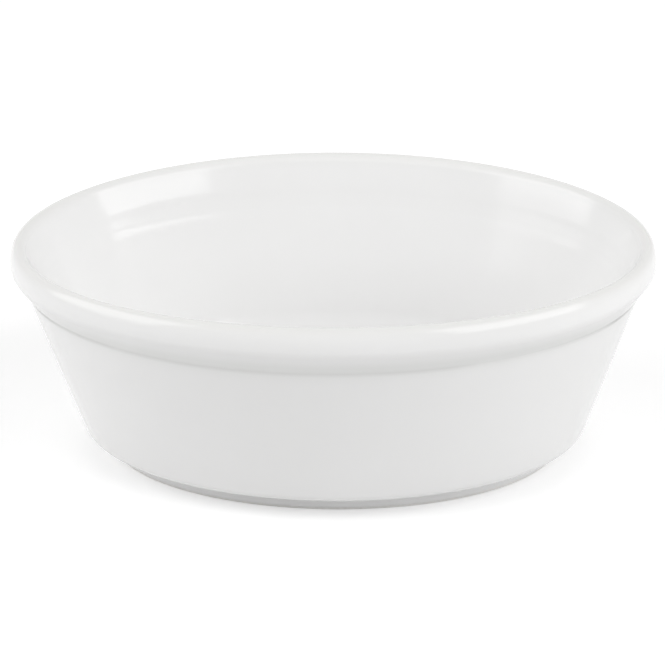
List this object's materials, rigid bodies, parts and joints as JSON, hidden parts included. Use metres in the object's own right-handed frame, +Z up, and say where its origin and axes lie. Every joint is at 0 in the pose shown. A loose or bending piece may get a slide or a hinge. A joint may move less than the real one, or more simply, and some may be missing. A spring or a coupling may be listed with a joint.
{
  "type": "oval pie dish",
  "caption": "Deep white glazed ceramic oval pie dish with a rolled bead rim, straight drafted wall, flat inner floor and an inset foot ring.",
  "frame": {"origin": "middle of the foot ring, on the plane that the dish stands on", "axes": "+Z up out of the mouth, +X along the long axis of the oval, +Y along its short axis"},
  "size_m": [0.16, 0.124, 0.0566],
  "materials": {
    "white_glaze": "white gloss glaze, unglazed on the foot ring's underside"
  },
  "bodies": {
    "root": {"dish": "white_glaze"}
  },
  "joints": []
}
